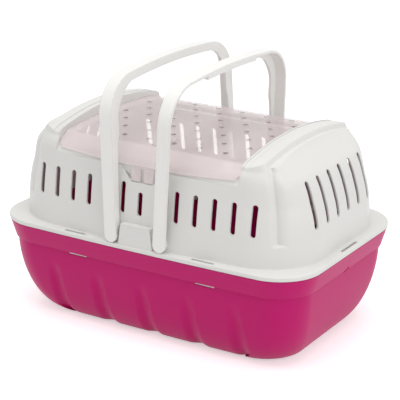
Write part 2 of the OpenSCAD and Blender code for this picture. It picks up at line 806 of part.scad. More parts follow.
function handle_half(inset) = concat(
  [[handle_half_width - inset, 0]],
  arc_half(handle_corner_r - inset),
  [[corner_y / 2, handle_rise - bar_arch * arch_share - inset], [0, handle_rise - inset]]);

// Depth of the side plate up the leg: it clears the walls as the handle folds down
plate_depths = [[5.5, band_wall], [12, 8.4], [26, 8.6], [52, 9.2], [81, 10.3], [99, 11.6],
  [111, 14.4]];
plate_corner_r = 29.6;
plate_corner_fill = 2.2;

function leg_face(z) = handle_half_width - leg_taper * z / corner_z;

// Radius of the plate's inner corner: tighter at its middle, opening out to the top bar
function plate_r(t) = plate_corner_r + (handle_corner_r - bar_depth - plate_corner_r) * t * t
  - plate_corner_fill * pow(sin(180 * t), 2);

function plate_half() = concat(
  [for (p = plate_depths) [leg_face(p[0]) - p[1], p[0]]],
  [for (i = [0:arc_steps])
    let (turn = 90 * i / arc_steps, r = plate_r(i / arc_steps))
    [corner_y + r * cos(turn), corner_z + r * sin(turn)]],
  [[corner_y / 2, handle_rise - bar_arch * arch_share - bar_depth], [0, handle_rise - bar_depth]]);

function closed_half(outer, inner) = concat(outer, reversed(inner));

// Extrude a half outline along X between two places and mirror it across Y
module both_sides(outline, low_x, high_x) {
  for (side = [0, 1]) mirror([0, side, 0])
    translate([low_x, 0, 0]) rotate([90, 0, 90]) linear_extrude(high_x - low_x)
      polygon(outline);
}

pin_tip = boss_back - 4;
grip_edge_run = 6;
grip_inset = 0.2;

// A handle upright in its own frame; the side plate is on the -X side
module handle_body() {
  half_band = band_width / 2;
  plate_start = [[handle_half_width, 0], [handle_half_width - band_wall, 0]];
  both_sides(closed_half(handle_half(0), handle_half(band_wall)), -half_band, half_band);
  both_sides(closed_half(handle_half(0), concat([plate_start[1]], plate_half())),
    -half_band, -half_band + band_wall);
  grip_low = handle_rise - grip_depth;
  grip = [[0, handle_rise - 0.5], [grip_half, handle_rise - 2.2],
          [grip_half, grip_low - 1.2], [grip_half - grip_edge_run, grip_low - 1.2],
          [0, grip_low]];
  both_sides(grip, -half_band + grip_inset, half_band - grip_inset);
  for (side = [0, 1]) mirror([0, side, 0]) {
    rotate([90, 0, 0]) translate([0, 0, handle_half_width - band_wall])
      linear_extrude(band_wall) intersection() {
        circle(r = half_band);
        translate([-band_width, -band_width]) square([2 * band_width, band_width]);
      }
    translate([0, -pin_tip, 0]) rotate([90, 0, 0])
      cylinder(r = pivot_pin_r, h = handle_half_width - pin_tip - 1);
  }
}

module handle_right() {
  color(handle_colour)
    translate([pivot_x, 0, part_z + pivot_z]) rotate([0, rest_lean, 0]) handle_body();
}

module handle_left() {
  color(handle_colour) mirror([1, 0, 0])
    translate([pivot_x, 0, part_z + pivot_z]) rotate([0, rest_lean, 0]) handle_body();
}

base_tub();
top_shell();
lid();
handle_left();
handle_right();
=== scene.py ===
import bpy
import math
import numpy as np
from mathutils import Matrix, Vector


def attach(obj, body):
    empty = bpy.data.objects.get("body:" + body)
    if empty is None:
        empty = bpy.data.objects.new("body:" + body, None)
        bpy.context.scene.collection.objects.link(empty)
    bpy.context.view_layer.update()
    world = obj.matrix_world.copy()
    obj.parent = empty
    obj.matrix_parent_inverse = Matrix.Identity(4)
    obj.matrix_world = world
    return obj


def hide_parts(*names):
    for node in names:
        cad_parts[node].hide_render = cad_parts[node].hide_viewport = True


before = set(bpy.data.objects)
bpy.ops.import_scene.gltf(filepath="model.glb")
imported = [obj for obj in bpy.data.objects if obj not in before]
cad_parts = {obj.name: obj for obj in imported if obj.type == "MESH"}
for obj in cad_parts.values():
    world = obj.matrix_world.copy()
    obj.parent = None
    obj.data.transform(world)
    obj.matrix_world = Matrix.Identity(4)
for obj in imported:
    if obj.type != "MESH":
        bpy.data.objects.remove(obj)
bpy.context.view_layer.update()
scene = bpy.context.scene

# Lengths are in millimetres up to the last step, and heights are above the parting line
MM = 0.001
PART_Z = 112.0
FLANGE_HX = 200.0
FLANGE_HY = 127.9
FLANGE_R = 50.0
FLANGE_BOW = 0.03
FLANGE_HEIGHT = 4.8
FLANGE_EDGE = 1.2
FLANGE_CHAMFER = 0.4
SOLID_GAP = 0.3


# Solids
def new_mesh(points, faces):
    mesh = bpy.data.meshes.new("solid")
    mesh.from_pydata([tuple(float(c) for c in p) for p in points], [], faces)
    return mesh


def loft(rings):
    """Closed solid through rings of equal length, each counter-clockwise seen from the last one."""
    count = len(rings[0])
    faces = [list(range(count))[::-1]]
    for low in range(0, count * (len(rings) - 1), count):
        for i in range(count):
            a, b = low + i, low + (i + 1) % count
            faces.append((a, b, b + count, a + count))
    faces.append(list(range(count * (len(rings) - 1), count * len(rings))))
    return new_mesh(np.concatenate(rings), faces)


def on_axis(outline, axis, place):
    """Points of a flat outline at a place on the axis that it is square to."""
    outline = np.asarray(outline, float)
    first, second = outline[:, 0], outline[:, 1]
    level = np.full(len(outline), float(place))
    columns = {"x": (level, first, second), "y": (first, level, second), "z": (first, second, level)}
    return np.stack(columns[axis], axis=1)


def facing(outline, axis):
    """The outline in the order that makes its prism face outwards."""
    outline = np.asarray(outline, float)
    after = np.roll(outline, -1, axis=0)
    area = np.sum(outline[:, 0] * after[:, 1] - outline[:, 1] * after[:, 0])
    wanted = -1 if axis == "y" else 1
    return outline if area * wanted > 0 else outline[::-1]


def prism(outline, axis, low, high):
    outline = facing(outline, axis)
    return loft([on_axis(outline, axis, low), on_axis(outline, axis, high)])


def box(low, high):
    corners = [(low[0], low[1]), (high[0], low[1]), (high[0], high[1]), (low[0], high[1])]
    return prism(corners, "z", low[2], high[2])


def circle(centre, radius, sides=64):
    turn = np.linspace(0, 2 * math.pi, sides, endpoint=False)
    return np.stack([centre[0] + radius * np.cos(turn), centre[1] + radius * np.sin(turn)], axis=1)


def together(meshes):
    """One mesh of solids that don't touch each other."""
    points, faces, start = [], [], 0
    for mesh in meshes:
        points += [tuple(v.co) for v in mesh.vertices]
        faces += [[start + i for i in f.vertices] for f in mesh.polygons]
        start += len(mesh.vertices)
    return new_mesh(points, faces)


def combine(first, second, how):
    objects = [bpy.data.objects.new("solid", mesh) for mesh in (first, second)]
    for obj in objects:
        scene.collection.objects.link(obj)
    step = objects[0].modifiers.new("step", "BOOLEAN")
    step.operation = how
    step.solver = "MANIFOLD"
    step.object = objects[1]
    graph = bpy.context.evaluated_depsgraph_get()
    result = bpy.data.meshes.new_from_object(objects[0].evaluated_get(graph))
    for obj in objects:
        bpy.data.objects.remove(obj)
    return result


def joined(first, *others):
    for other in others:
        first = combine(first, other, "UNION")
    return first


def cut(first, *others):
    for other in others:
        first = combine(first, other, "DIFFERENCE")
    return first


def common(first, second):
    return combine(first, second, "INTERSECT")


# Curves
def ease(t):
    t = np.clip(t, 0, 1)
    return t * t * (3 - 2 * t)


def smooth_values(places, values, wanted):
    """Monotone cubic through values given at rising places."""
    places, values, wanted = (np.asarray(a, float) for a in (places, values, wanted))
    step = np.diff(places)
    slope = np.diff(values) / step
    tangent = np.zeros(len(values))
    tangent[0], tangent[-1] = slope[0], slope[-1]
    for k in range(1, len(values) - 1):
        before, after = slope[k - 1], slope[k]
        tangent[k] = 2 * before * after / (before + after) if before * after > 0 else 0
    k = np.clip(np.searchsorted(places, wanted, side="right") - 1, 0, len(step) - 1)
    t = np.clip((wanted - places[k]) / step[k], 0, 1)
    rise = values[k + 1] - values[k]
    bend = t * (1 - t) * ((1 - t) * tangent[k] - t * tangent[k + 1]) * step[k]
    return values[k] + ease(t) * rise + bend


def soft_min(a, b, reach):
    near = np.maximum(reach - np.abs(a - b), 0) / reach
    return np.minimum(a, b) - near * near * reach / 4


def side_y(x, hx, hy, r):
    """Height across a rounded rectangle's long side."""
    over = np.maximum(np.abs(x) - (hx - r), 0)
    return hy - r + np.sqrt(np.maximum(r * r - over * over, 0))


def all_round(quarter, z):
    """Full ring from one quarter that runs from the end's middle to the side's middle."""
    x, y = quarter
    ring_x = np.concatenate([x[:-1], -x[::-1][:-1], -x[:-1], x[::-1][:-1]])
    ring_y = np.concatenate([y[:-1], y[::-1][:-1], -y[:-1], -y[::-1][:-1]])
    return np.stack([ring_x, ring_y, np.full(len(ring_x), PART_Z + z)], axis=1)


# Top shell
SHELL_WALL = 2.5
END_STEP = 8.0
END_STEP_Z = 29.5
RISER_RUN = 3.0
SHELF_RUN = 1.4
CREASE_ROUND = 5.0
# Height, half-length, half-width, corner radius, bow of the long sides, place of the end step
SHELL_LEVELS = np.array([
    (4.8, 188, 119.9, 62, 0.098, 158), (22, 188, 118.6, 62, 0.098, 157),
    (28.9, 187.6, 117.9, 62, 0.098, 156), (41, 187, 116.7, 62, 0.098, 154.5),
    (54, 185, 115.1, 61, 0.098, 153), (66, 181.7, 113.4, 60, 0.098, 151),
    (80, 177, 110.7, 56, 0.07, 149), (92, 171, 108.2, 50, 0.045, 147),
    (101, 162, 104.9, 42, 0.03, 144), (106.5, 156, 101.4, 34, 0.03, 142),
    (112, 150, 100.9, 28, 0.03, 139), (118, 145, 100.9, 24, 0.03, 137),
    (130, 139, 100.9, 20, 0.03, 134)])
END_COLUMNS, CORNER_COLUMNS, RISER_COLUMNS, SIDE_COLUMNS = 16, 56, 10, 64


def shell_ring(z, inset):
    heights, level_z = SHELL_LEVELS[:, 0], max(z, FLANGE_HEIGHT)
    hx, hy, r, bow, step_x = [smooth_values(heights, SHELL_LEVELS[:, k], level_z) for k in range(1, 6)]
    hx, hy, r, step_x = hx - inset, hy - inset, r - inset, step_x - max(inset, 0)
    end_y = np.linspace(0, hy - r, END_COLUMNS, endpoint=False)
    stop = math.acos((step_x + RISER_RUN - hx + r) / r)
    turn = np.linspace(0, stop, CORNER_COLUMNS)
    riser_x = step_x + RISER_RUN * (1 - np.linspace(0, 1, RISER_COLUMNS + 1)[1:])
    side_x = step_x * (1 - np.linspace(0, 1, SIDE_COLUMNS + 1)[1:] ** 0.85)
    x = np.concatenate([np.full(END_COLUMNS, hx), hx - r + r * np.cos(turn), riser_x, side_x])
    along = side_y(np.concatenate([riser_x, side_x]), hx, hy, r)
    y = np.concatenate([end_y, hy - r + r * np.sin(turn), along])
    full = y * (1 - bow * (x / hx) ** 2)
    floor = side_y(step_x, hx, hy, r) * (1 - bow * (step_x / hx) ** 2) - END_STEP
    sunk = full - soft_min(full, floor, CREASE_ROUND)
    across = ease((x - step_x) / RISER_RUN)
    up = ease((z + max(inset, 0) - END_STEP_Z + SHELF_RUN) / (2 * SHELF_RUN))
    return all_round((x, full - sunk * across * up), z)


def flange_ring(z, inset):
    hx, hy, r = FLANGE_HX - inset, FLANGE_HY - inset, FLANGE_R - inset
    end_y = np.linspace(0, hy - r, END_COLUMNS, endpoint=False)
    turn = np.linspace(0, math.pi / 2, CORNER_COLUMNS + RISER_COLUMNS)
    side_x = (hx - r) * (1 - np.linspace(0, 1, SIDE_COLUMNS + 1)[1:])
    x = np.concatenate([np.full(END_COLUMNS, hx), hx - r + r * np.cos(turn), side_x])
    y = np.concatenate([end_y, hy - r + r * np.sin(turn), np.full(SIDE_COLUMNS, hy)])
    return all_round((x, y * (1 - FLANGE_BOW * (x / FLANGE_HX) ** 2)), z)


RIM_DEPTH = 5.0
RIM_WALL = 2.2
TUB_WALL = 2.8
RIM_OUT = TUB_WALL + SOLID_GAP + 0.5
RIM_TAPER = 1.5
# Rise above the flange and inset of the flare at the foot of the walls
WALL_FOOT = [(0, -1.4), (0.15, -0.75), (0.6, -0.2)]
WALL_HEIGHTS = np.concatenate([
    [6.2, 10, 16, 22, 26, 27.6], np.linspace(28.1, 30.9, 9), [31.8, 34, 37, 41],
    np.arange(44, 96, 3), np.arange(96, 131, 1.7)])


def wall_outside():
    turns = np.linspace(0, math.pi / 2, 5)
    edge = [flange_ring(FLANGE_HEIGHT - FLANGE_EDGE * (1 - math.sin(t)), FLANGE_EDGE * (1 - math.cos(t)))
            for t in turns]
    foot = [shell_ring(FLANGE_HEIGHT + rise, inset) for rise, inset in WALL_FOOT]
    return loft([flange_ring(-RIM_DEPTH, RIM_OUT + RIM_TAPER), flange_ring(0, RIM_OUT),
                 flange_ring(0, FLANGE_CHAMFER), flange_ring(FLANGE_CHAMFER, 0)] + edge + foot
                + [shell_ring(z, 0) for z in WALL_HEIGHTS])


def wall_inside():
    return loft([flange_ring(-RIM_DEPTH - 1, RIM_OUT + RIM_TAPER + SOLID_GAP + RIM_WALL),
                 flange_ring(0, RIM_OUT + RIM_WALL), shell_ring(0, SHELL_WALL)]
                + [shell_ring(z, SHELL_WALL) for z in WALL_HEIGHTS])


RIDGE_Z = 124.0
RIDGE_HX = 139.2
SHOULDER_DROP = 6.0
ROOF_REACH = 210.0
ROOF_CURVE_Y = 109.6
ROOF_FOOT = 20.0
ROOF_Y = [0, 25, 50, 80, 94, 100, 105.5, 109.6, 150]
ROOF_DROP = [0, 0.8, 3.1, 8, 11.2, 15.5, 24, 34, 100]


def roof_height(y):
    return RIDGE_Z - smooth_values(ROOF_Y, ROOF_DROP, np.abs(y))


def roof_outline(lower):
    past = np.linspace(112, ROOF_Y[-1], 4)
    y = np.concatenate([-past[::-1], np.linspace(-ROOF_CURVE_Y, ROOF_CURVE_Y, 75), past])
    top = [(a, roof_height(a) - lower + PART_Z) for a in y]
    return top + [(ROOF_Y[-1], PART_Z - ROOF_FOOT), (-ROOF_Y[-1], PART_Z - ROOF_FOOT)]


def roof_solid(inset):
    """Everything under the ridges, with an eased step down to the shoulders past them."""
    steps = np.linspace(0, 1, 9)
    half = RIDGE_HX - inset
    places = [(half + RISER_RUN * s, SHOULDER_DROP * ease(s)) for s in steps] + [(ROOF_REACH, SHOULDER_DROP)]
    places = [(-x, drop) for x, drop in reversed(places)] + places
    outlines = [on_axis(facing(roof_outline(drop + inset), "x"), "x", x) for x, drop in places]
    return loft(outlines)


# The lid's outer face, and what rests on it
LID_HX = 117.0
LID_WALL = 2.0
LID_GAP = 0.5
LID_EDGE_Y = 108.7
LID_EDGE_Z = 91.0
HINGE_Y = 104.5
HINGE_Z = 93.5
BEAD_R = 2.6
LID_PIN_R = 1.95
PIN_GAP = 0.06
SEAT_GAP = 0.3
SEAT_WALL = 2.4
SEAT_WIDTH = 9.0
OPENING_FRONT_Y = -84.0
OPENING_BACK_Y = 96.0
SEAT_FOOT = 6.0
SEAT_BACK_Z = 84.0
CUT_LOW = 80.0
ROOM_HY = 130.0
ROOM_TOP = 140.0
BEAD_ROOM = (0.6, 0.4)
RECESS_HX = LID_HX + LID_GAP
LID_TOP = ([0, 42, 84, 96], [114, 113, 110, 103.6])


def lid_path(end_y, end_z):
    y = np.concatenate([np.linspace(0, 78, 20), np.linspace(80, end_y[-1], 30)])
    return np.stack([y, smooth_values(LID_TOP[0] + end_y, LID_TOP[1] + end_z, y)], axis=1)


FRONT_PATH = lid_path([104, 108.7], [97.6, 91])
BACK_PATH = lid_path([103, 105.4], [97.6, 95.6])


def moved_out(path, distance):
    along = np.gradient(path, axis=0)
    along /= np.linalg.norm(along, axis=1)[:, None]
    return path + distance * np.stack([-along[:, 1], along[:, 0]], axis=1)


def to_front(path):
    return (path * [-1, 1])[::-1]


def lifted(points):
    return np.asarray(points, float) + [0, PART_Z]


def lid_band(lift, depth, half):
    outer = np.concatenate([to_front(moved_out(FRONT_PATH, lift)), moved_out(BACK_PATH, lift)[1:]])
    inner = np.concatenate([to_front(moved_out(FRONT_PATH, -depth)), moved_out(BACK_PATH, -depth)[1:]])
    return prism(lifted(np.concatenate([outer, inner[::-1]])), "x", -half, half)


def lid_room():
    front = to_front(moved_out(FRONT_PATH, -(LID_WALL + SEAT_GAP)))
    back = moved_out(BACK_PATH, -(LID_WALL + SEAT_GAP))[1:-1]
    back_edge = (HINGE_Y - BEAD_R - BEAD_ROOM[0], HINGE_Z - BEAD_R - BEAD_ROOM[1])
    back = back[back[:, 0] < back_edge[0]]
    edge = front[0]
    start = [(-ROOM_HY, edge[1] - LID_GAP), (edge[0], edge[1] - LID_GAP)]
    stop = [back_edge, (ROOM_HY, back_edge[1]), (ROOM_HY, ROOM_TOP), (-ROOM_HY, ROOM_TOP)]
    outline = np.concatenate([start, front, back, stop])
    return prism(lifted(outline), "x", -RECESS_HX, RECESS_HX)


def seat_block():
    seat = moved_out(FRONT_PATH, -(LID_WALL + SEAT_GAP + SEAT_WALL))
    front = to_front(seat)
    foot = front[0][1] - SEAT_FOOT
    rest = [(seat[-1][0], SEAT_BACK_Z), (ROOM_HY, SEAT_BACK_Z), (ROOM_HY, ROOM_TOP), (-ROOM_HY, ROOM_TOP)]
    outline = np.concatenate([[(-ROOM_HY, foot), (front[0][0], foot)], front, seat[1:], rest])
    half = RECESS_HX + SHELL_WALL
    return common(common(prism(lifted(outline), "x", -half, half), wall_outside()), roof_solid(0))


# Cuts and blocks on the shell
SLOT_R = 3.0
FRONT_PITCH = 22.84
FRONT_SLOT = (37.9, 72.5)
MIDDLE_SLOT_TOP = 64.0
SIDE_CUT = (85, 126)
END_PITCH = 23.85
END_SLOT = (41.4, 91.7)
END_CUT = (155, 195)


def slot_outline(centre, low, high):
    up = np.linspace(0, math.pi, 17)
    top = [(centre + SLOT_R * math.cos(t), PART_Z + high - SLOT_R + SLOT_R * math.sin(t)) for t in up]
    foot = [(centre - SLOT_R * math.cos(t), PART_Z + low + SLOT_R - SLOT_R * math.sin(t)) for t in up]
    return top + foot


def vent_slots():
    cuts = []
    near, far = SIDE_CUT
    for n in range(-6, 7):
        low, high = FRONT_SLOT
        front = slot_outline(n * FRONT_PITCH, low, MIDDLE_SLOT_TOP if n == 0 else high)
        cuts.append(prism(front, "y", -far, -near))
        cuts.append(prism(slot_outline(n * FRONT_PITCH, low, high), "y", near, far))
    for n in (-2.5, -1.5, -0.5, 0.5, 1.5, 2.5):
        for side in (-1, 1):
            ends = sorted(side * x for x in END_CUT)
            cuts.append(prism(slot_outline(n * END_PITCH, *END_SLOT), "x", *ends))
    return together(cuts)


SNAP_X = 83.5
SNAP_HALF = 13.5
SNAP_END_HALF = 17.5
WINDOW_INSET = 7.4
WINDOW_WIDTH = 3.2
WINDOW_LOW = 1.0
SKIRT_HEIGHT = 21.9
SLOT_CUT_HEIGHT = 3.0
SLOT_CUT_HALF = 12.5
SLOT_CUT_REACH = 22.0
END_HOLE_HALF = 3.5
END_HOLE = (-25.0, -19.5)
HOOK_LIP = (-SKIRT_HEIGHT - SLOT_CUT_HEIGHT + SOLID_GAP, -SKIRT_HEIGHT - SOLID_GAP)
# How far the hook's outline lies inside the flange's edge, and its height
HOOK = [(8, 1), (8, -4), (12.8, -8), (12.8, HOOK_LIP[1]), (9.9, HOOK_LIP[1]), (9.9, HOOK_LIP[0]),
        (15, HOOK_LIP[0]), (15, -8), (10.4, -4), (10.4, 1)]


def bow_at(x):
    return FLANGE_HY * FLANGE_BOW * (x / FLANGE_HX) ** 2


def turned(mesh, degrees):
    mesh.transform(Matrix.Rotation(math.radians(degrees), 4, "Z"))
    return mesh


def at_sides(make):
    """A piece for each side snap, drawn facing +Y at its place along the flange's edge."""
    return together([turned(make(x, FLANGE_HY - bow_at(x)), turn)
                     for turn in (0, 180) for x in (-SNAP_X, SNAP_X)])


def at_ends(make):
    return together([turned(make(0, FLANGE_HX), turn) for turn in (90, -90)])


def snap_window(half):
    half += SOLID_GAP
    return lambda x, edge: box((x - half, edge - WINDOW_INSET, PART_Z - WINDOW_LOW),
                               (x + half, edge - WINDOW_INSET + WINDOW_WIDTH, PART_Z + FLANGE_HEIGHT + 1))


def hook(x, edge):
    half = SLOT_CUT_HALF - SOLID_GAP
    return prism([(edge - inside, PART_Z + z) for inside, z in HOOK], "x", x - half, x + half)


def hook_slot(x, edge):
    low = PART_Z + HOOK_LIP[0] - SOLID_GAP
    return box((x - SLOT_CUT_HALF, edge - SLOT_CUT_REACH, low),
               (x + SLOT_CUT_HALF, edge, low + SLOT_CUT_HEIGHT))


def end_hole(x, edge):
    return box((x - END_HOLE_HALF, edge - SLOT_CUT_REACH, PART_Z + END_HOLE[0]),
               (x + END_HOLE_HALF, edge, PART_Z + END_HOLE[1]))


PIVOT_X = 31.5
PIVOT_Z = 13.0
PIVOT_PIN_R = 3.0
PIVOT_BOSS_R = 6.0
BLOCK = [(-22.4, 4), (22.4, 4), (19, 28.5), (-19, 28.5)]
BLOCK_FACE = 126.0
BLOCK_BACK = 112.0
BLOCK_OPEN = 8.0
BLOCK_MIDDLE_Z = 10.0
BOSS_FACE = 124.1
BORE_REACH = 6.0


def block_outline(inset):
    return [(x - math.copysign(inset, x), PART_Z + z + (inset if z < BLOCK_MIDDLE_Z else -inset))
            for x, z in BLOCK]


def mirrored_y(mesh):
    copy = mesh.copy()
    copy.transform(Matrix.Scale(-1, 4, (0, 1, 0)))
    copy.flip_normals()
    return copy


def both_sides(mesh):
    return together([mesh, mirrored_y(mesh)])


def pivot_rods(radius, near, far):
    return together([prism(circle((x, PART_Z + PIVOT_Z), radius), "y", -far, -near)
                     for x in (-PIVOT_X, PIVOT_X)])


POCKET = [(-13.6, 73.6), (13.6, 73.6), (27, 86), (27, 92), (-27, 92), (-27, 86)]
POCKET_Y = 106.6
POCKET_REACH = 30.0
BACKING_HX = 29.0
BACKING_Z = (71.1, 91.5)
SHELF_TOP = 73.4
SHELF_Y = (-POCKET_Y - 4, -POCKET_Y + 2)


def latch_backing():
    low, high = BACKING_Z
    plate = box((-BACKING_HX, -POCKET_Y, PART_Z + low), (BACKING_HX, -POCKET_Y + SHELL_WALL, PART_Z + high))
    shelf = box((-BACKING_HX, SHELF_Y[0], PART_Z + low), (BACKING_HX, SHELF_Y[1], PART_Z + SHELF_TOP))
    return joined(plate, shelf)


def hinge_rod(radius, half):
    return prism(circle((HINGE_Y, PART_Z + HINGE_Z), radius), "x", -half, half)


EAR_R = 4.4
EAR_GAP = 0.05
EAR_WIDTH = 5.5
HINGE_BORE_HX = 127.0


def hinge_ears():
    inner = RECESS_HX + EAR_GAP
    return together([prism(circle((HINGE_Y, PART_Z + HINGE_Z), EAR_R), "x",
                           *sorted((side * inner, side * (inner + EAR_WIDTH)))) for side in (-1, 1)])


BORDER_HX = 126.0
BORDER_HY = 104.0
BORDER_DEPTH = 0.6


def lid_border():
    """Shallow step in the roof round the lid."""
    slab = box((-BORDER_HX, -BORDER_HY, PART_Z + CUT_LOW), (BORDER_HX, BORDER_HY, PART_Z + ROOM_TOP))
    return cut(slab, roof_solid(BORDER_DEPTH))


def top_shell():
    wall = cut(common(wall_outside(), roof_solid(0)), common(wall_inside(), roof_solid(SHELL_WALL)))
    wall = cut(wall, lid_border())
    wall = joined(wall, seat_block(), latch_backing(),
                  both_sides(prism(block_outline(0), "y", -BLOCK_FACE, -BLOCK_BACK)),
                  both_sides(pivot_rods(PIVOT_BOSS_R, BLOCK_BACK, BOSS_FACE)), hinge_ears(), at_sides(hook))
    opening = box((-LID_HX + SEAT_WIDTH, OPENING_FRONT_Y, PART_Z + CUT_LOW),
                  (LID_HX - SEAT_WIDTH, OPENING_BACK_Y, PART_Z + ROOM_TOP))
    pocket = prism([(x, PART_Z + z) for x, z in POCKET], "y", -POCKET_Y - POCKET_REACH, -POCKET_Y)
    hollow = prism(block_outline(SHELL_WALL), "y", -BLOCK_FACE + SHELL_WALL, -BLOCK_BACK + BLOCK_OPEN)
    bores = pivot_rods(PIVOT_PIN_R + PIN_GAP, BLOCK_BACK - BORE_REACH, BOSS_FACE + BORE_REACH)
    return cut(wall, lid_room(), opening, pocket, vent_slots(), at_sides(snap_window(SNAP_HALF)),
               at_ends(snap_window(SNAP_END_HALF)), both_sides(hollow), both_sides(bores),
               hinge_rod(LID_PIN_R + PIN_GAP, HINGE_BORE_HX))


# Tub
SKIRT_TAPER = 6.6
SKIRT_STEP = 2.4
SKIRT_EDGE = 0.6
SKIRT_LIP = (0.5, -0.1)
SKIRT_MIDDLE = 8.0
INNER_STEP_Z = (3.4, 2.4)
INNER_STEP = SKIRT_STEP + 0.7
BOWL_POWER = 1.9
BOWL_REACH = 39.0
BOWL_SHARE = 0.985
FLUTE_TOP = 36.0
FLUTE_PITCH = 59.5
FLUTE_HALF = 12.0
FLUTE_DEPTH = 4.5
FLUTE_TOP_SHARE = 0.72
FLUTE_SPREAD = 1.1
FLUTE_START = 0.6
FLOOR_WALL = 4.4
FLOOR_ROUND = 2.0
TUB_SIDE_COLUMNS = 190


def bowl_share(depth):
    return np.clip((depth - SKIRT_HEIGHT) / (PART_Z - SKIRT_HEIGHT), 0, 1)


def bowl_in(depth):
    if depth <= SKIRT_HEIGHT:
        return SKIRT_TAPER * depth / SKIRT_HEIGHT
    drop = 1 - BOWL_SHARE * bowl_share(depth) ** BOWL_POWER
    return SKIRT_TAPER + SKIRT_STEP + BOWL_REACH * (1 - math.sqrt(drop))


def flute_press(x, depth):
    growth = np.clip((depth - FLUTE_TOP) / (PART_Z - FLUTE_TOP), 0, 1)
    half = FLUTE_HALF * (FLUTE_TOP_SHARE + (1 - FLUTE_TOP_SHARE) * growth) * FLUTE_SPREAD
    press = FLUTE_DEPTH * ease(3 * growth) * (FLUTE_START + (1 - FLUTE_START) * growth)
    off = np.abs(x - FLUTE_PITCH * np.clip(np.round(x / FLUTE_PITCH), -2, 2)) / half
    return press * np.where(off < 1, 0.5 + 0.5 * np.cos(math.pi * np.minimum(off, 1)), 0)


def tub_ring(depth, inset, z=None, step_in=0.0):
    grow = bowl_in(depth) + step_in
    hx, hy = FLANGE_HX - SOLID_GAP - grow - inset, FLANGE_HY - SOLID_GAP - grow - inset
    r = FLANGE_R - bowl_in(min(depth, SKIRT_HEIGHT + SKIRT_EDGE)) + bowl_share(depth) - inset
    end_y = np.linspace(0, hy - r, END_COLUMNS, endpoint=False)
    turn = np.linspace(0, math.pi / 2, 40)
    side_x = (hx - r) * (1 - np.linspace(0, 1, TUB_SIDE_COLUMNS + 1)[1:])
    x = np.concatenate([np.full(END_COLUMNS, hx), hx - r + r * np.cos(turn), side_x])
    y = np.concatenate([end_y, hy - r + r * np.sin(turn), hy - flute_press(side_x, depth)])
    return all_round((x, y * (1 - FLANGE_BOW * (x / FLANGE_HX) ** 2)), -depth if z is None else z)


def base_tub():
    top = SKIRT_HEIGHT + SKIRT_EDGE
    bowl = top + (PART_Z - top) * np.sin(np.linspace(0, math.pi / 2, 46))
    outer = [tub_ring(d, 0) for d in bowl[::-1]]
    outer += [tub_ring(SKIRT_HEIGHT, 0), tub_ring(SKIRT_HEIGHT - SKIRT_LIP[0], SKIRT_LIP[1]),
              tub_ring(SKIRT_MIDDLE, 0), tub_ring(0, 0, -SOLID_GAP)]
    inner = [tub_ring(0, TUB_WALL, -SOLID_GAP), tub_ring(SKIRT_HEIGHT - INNER_STEP_Z[0], TUB_WALL),
             tub_ring(SKIRT_HEIGHT - INNER_STEP_Z[1], TUB_WALL, step_in=INNER_STEP)]
    inner += [tub_ring(d, TUB_WALL) for d in bowl if d < PART_Z - FLOOR_WALL - FLOOR_ROUND]
    inner += [tub_ring(PART_Z - FLOOR_WALL, TUB_WALL + FLOOR_ROUND)]
    return cut(loft(outer + inner), at_sides(hook_slot), at_ends(end_hole))


# Lid
VENT_R = 3.0
VENT_X = 32.4
VENT_Y = 24.05
VENT_CUT = (100, 120)
PLATE_Y = -71.0
PLATE_OUTLINE = [(-15, -8), (0, -16), (15, -8), (15, 8), (0, 16), (-15, 8)]
PLATE_LIFT = 1.0
PLATE_CUT = (100, 115)
TAB_HALF = 14.3
TAB_SLIT = 5.0
TAB_LOW = (111.6, 75.0)
TAB_PLATE_Y = -97.5
TAB_PLATE_LIFT = 0.9
TAB_TOP = (0.6, 1.6)
SLIT_Z = (60, LID_EDGE_Z - 2)
SLIT_Y = -90.0
EDGE_RISE = 5.0
EDGE_DROP = 0.4
TRIM_PAST = 5.0
TRIM_LOW = 70.0
CORNER_CUT = 6.0
LID_PIN_LENGTH = 5.0


def front_trim():
    x = np.linspace(-LID_HX, LID_HX, 61)
    rise = np.stack([x, PART_Z + LID_EDGE_Z - EDGE_DROP + EDGE_RISE * (x / LID_HX) ** 2], axis=1)
    past, low = LID_HX + TRIM_PAST, PART_Z + TRIM_LOW
    ends = [(past, rise[-1][1]), (past, low), (-past, low), (-past, rise[0][1])]
    return prism(np.concatenate([rise, ends]), "y", -ROOM_HY, -CUT_LOW)


def lid_corners():
    cuts = []
    for side in (-1, 1):
        x, half = side * LID_HX, CORNER_CUT * math.sqrt(2)
        cuts.append(prism([(x - half, -LID_EDGE_Y), (x, -LID_EDGE_Y - half), (x + half, -LID_EDGE_Y),
                           (x, -LID_EDGE_Y + half)], "z", PART_Z + SLIT_Z[0], PART_Z + ROOM_TOP))
    return together(cuts)


def latch_tab():
    y, z = -LID_EDGE_Y, LID_EDGE_Z
    low_y, low_z = -TAB_LOW[0], TAB_LOW[1]
    into, above = TAB_TOP
    outline = [(y + into, z + above), (y, z), (low_y, low_z), (low_y + LID_WALL, low_z),
               (y + LID_WALL, z - 1), (y + LID_WALL + into, z + above)]
    return prism(lifted(outline), "x", -TAB_HALF, TAB_HALF)


def tab_plate():
    """Raised plate that carries the tab up the lid's front slope."""
    front = box((-LID_HX, -ROOM_HY, PART_Z + LID_EDGE_Z), (LID_HX, TAB_PLATE_Y, PART_Z + ROOM_TOP))
    return common(lid_band(TAB_PLATE_LIFT, LID_WALL / 2, TAB_HALF), front)


def lid_vents():
    cuts = []
    for row in range(-3, 4):
        shift = 0 if row % 2 == 0 else 0.5
        for column in np.arange(-3 + shift, 3.1 - shift):
            centre = (column * VENT_X, row * VENT_Y)
            cuts.append(prism(circle(centre, VENT_R, 32), "z", *(PART_Z + z for z in VENT_CUT)))
    return together(cuts)


